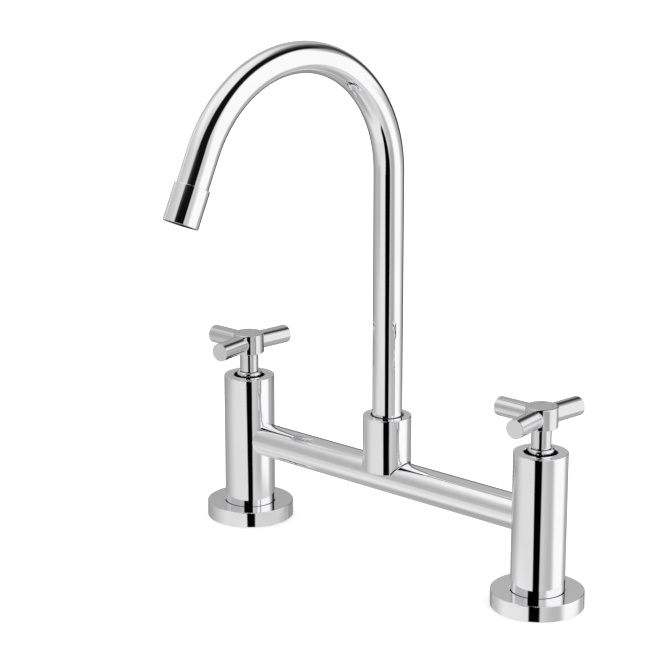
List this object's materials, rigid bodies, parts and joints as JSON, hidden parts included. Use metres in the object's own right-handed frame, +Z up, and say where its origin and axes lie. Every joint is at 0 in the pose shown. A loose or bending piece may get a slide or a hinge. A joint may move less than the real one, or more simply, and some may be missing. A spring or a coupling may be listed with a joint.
{
  "type": "bridge kitchen faucet",
  "caption": "Chrome bridge faucet with round deck flanges, pillar valves with three-spoke handles, a straight bridge tube and a swivelling high-arc spout.",
  "frame": {"origin": "deck level, midway between the two pillar axes", "axes": "+X from the hot pillar to the cold pillar, +Y away from the person at the sink, +Z up"},
  "size_m": [0.2539, 0.1766, 0.2863],
  "materials": {
    "chrome": "polished",
    "handle_chrome": "polished",
    "bare_brass": "machined",
    "seal_rubber": "matte",
    "disc_ceramic": "lapped",
    "screw_steel": "plain",
    "screen_steel": "woven",
    "glide_plastic": "moulded",
    "insert_plastic": "moulded"
  },
  "bodies": {
    "faucet_body": {"hot_deck_flange": "chrome", "hot_flange_seal": "seal_rubber", "hot_pillar": "chrome", "hot_cartridge_body": "bare_brass", "hot_seat_seal": "seal_rubber", "hot_fixed_disc": "disc_ceramic", "hot_gland_collar": "chrome", "hot_spindle_oring": "seal_rubber", "hot_bridge_ferrule": "bare_brass", "hot_bridge_oring": "seal_rubber", "cold_deck_flange": "chrome", "cold_flange_seal": "seal_rubber", "cold_pillar": "chrome", "cold_cartridge_body": "bare_brass", "cold_seat_seal": "seal_rubber", "cold_fixed_disc": "disc_ceramic", "cold_gland_collar": "chrome", "cold_spindle_oring": "seal_rubber", "cold_bridge_ferrule": "bare_brass", "cold_bridge_oring": "seal_rubber", "bridge_tube": "chrome", "spout_boss": "chrome", "spout_glide_ring": "glide_plastic", "spout_grub_screw": "screw_steel"},
    "hot_handle": {"hot_valve_spindle": "bare_brass", "hot_moving_disc": "disc_ceramic", "hot_handle_hub": "handle_chrome", "hot_spoke_tail": "handle_chrome", "hot_spoke_front": "handle_chrome", "hot_spoke_rear": "handle_chrome", "hot_handle_screw": "screw_steel", "hot_handle_cap": "handle_chrome"},
    "cold_handle": {"cold_valve_spindle": "bare_brass", "cold_moving_disc": "disc_ceramic", "cold_handle_hub": "handle_chrome", "cold_spoke_tail": "handle_chrome", "cold_spoke_front": "handle_chrome", "cold_spoke_rear": "handle_chrome", "cold_handle_screw": "screw_steel", "cold_handle_cap": "handle_chrome"},
    "spout": {"spout_tube": "chrome", "spout_spigot": "bare_brass", "spout_oring": "seal_rubber", "aerator_housing": "chrome", "aerator_washer": "seal_rubber", "aerator_insert": "insert_plastic", "aerator_screen": "screen_steel"}
  },
  "joints": [
    {"name": "hot_handle_turn", "type": "hinge", "parent": "faucet_body", "child": "hot_handle", "pos_m": [-0.1015, 0, 0.095], "axis": [0, 0, 1], "range_deg": [0, 90]},
    {"name": "cold_handle_turn", "type": "hinge", "parent": "faucet_body", "child": "cold_handle", "pos_m": [0.1015, 0, 0.095], "axis": [0, 0, 1], "range_deg": [0, 90]},
    {"name": "spout_swivel", "type": "hinge", "parent": "faucet_body", "child": "spout", "pos_m": [0, 0, 0.0803], "axis": [0, 0, 1], "continuous": true}
  ]
}
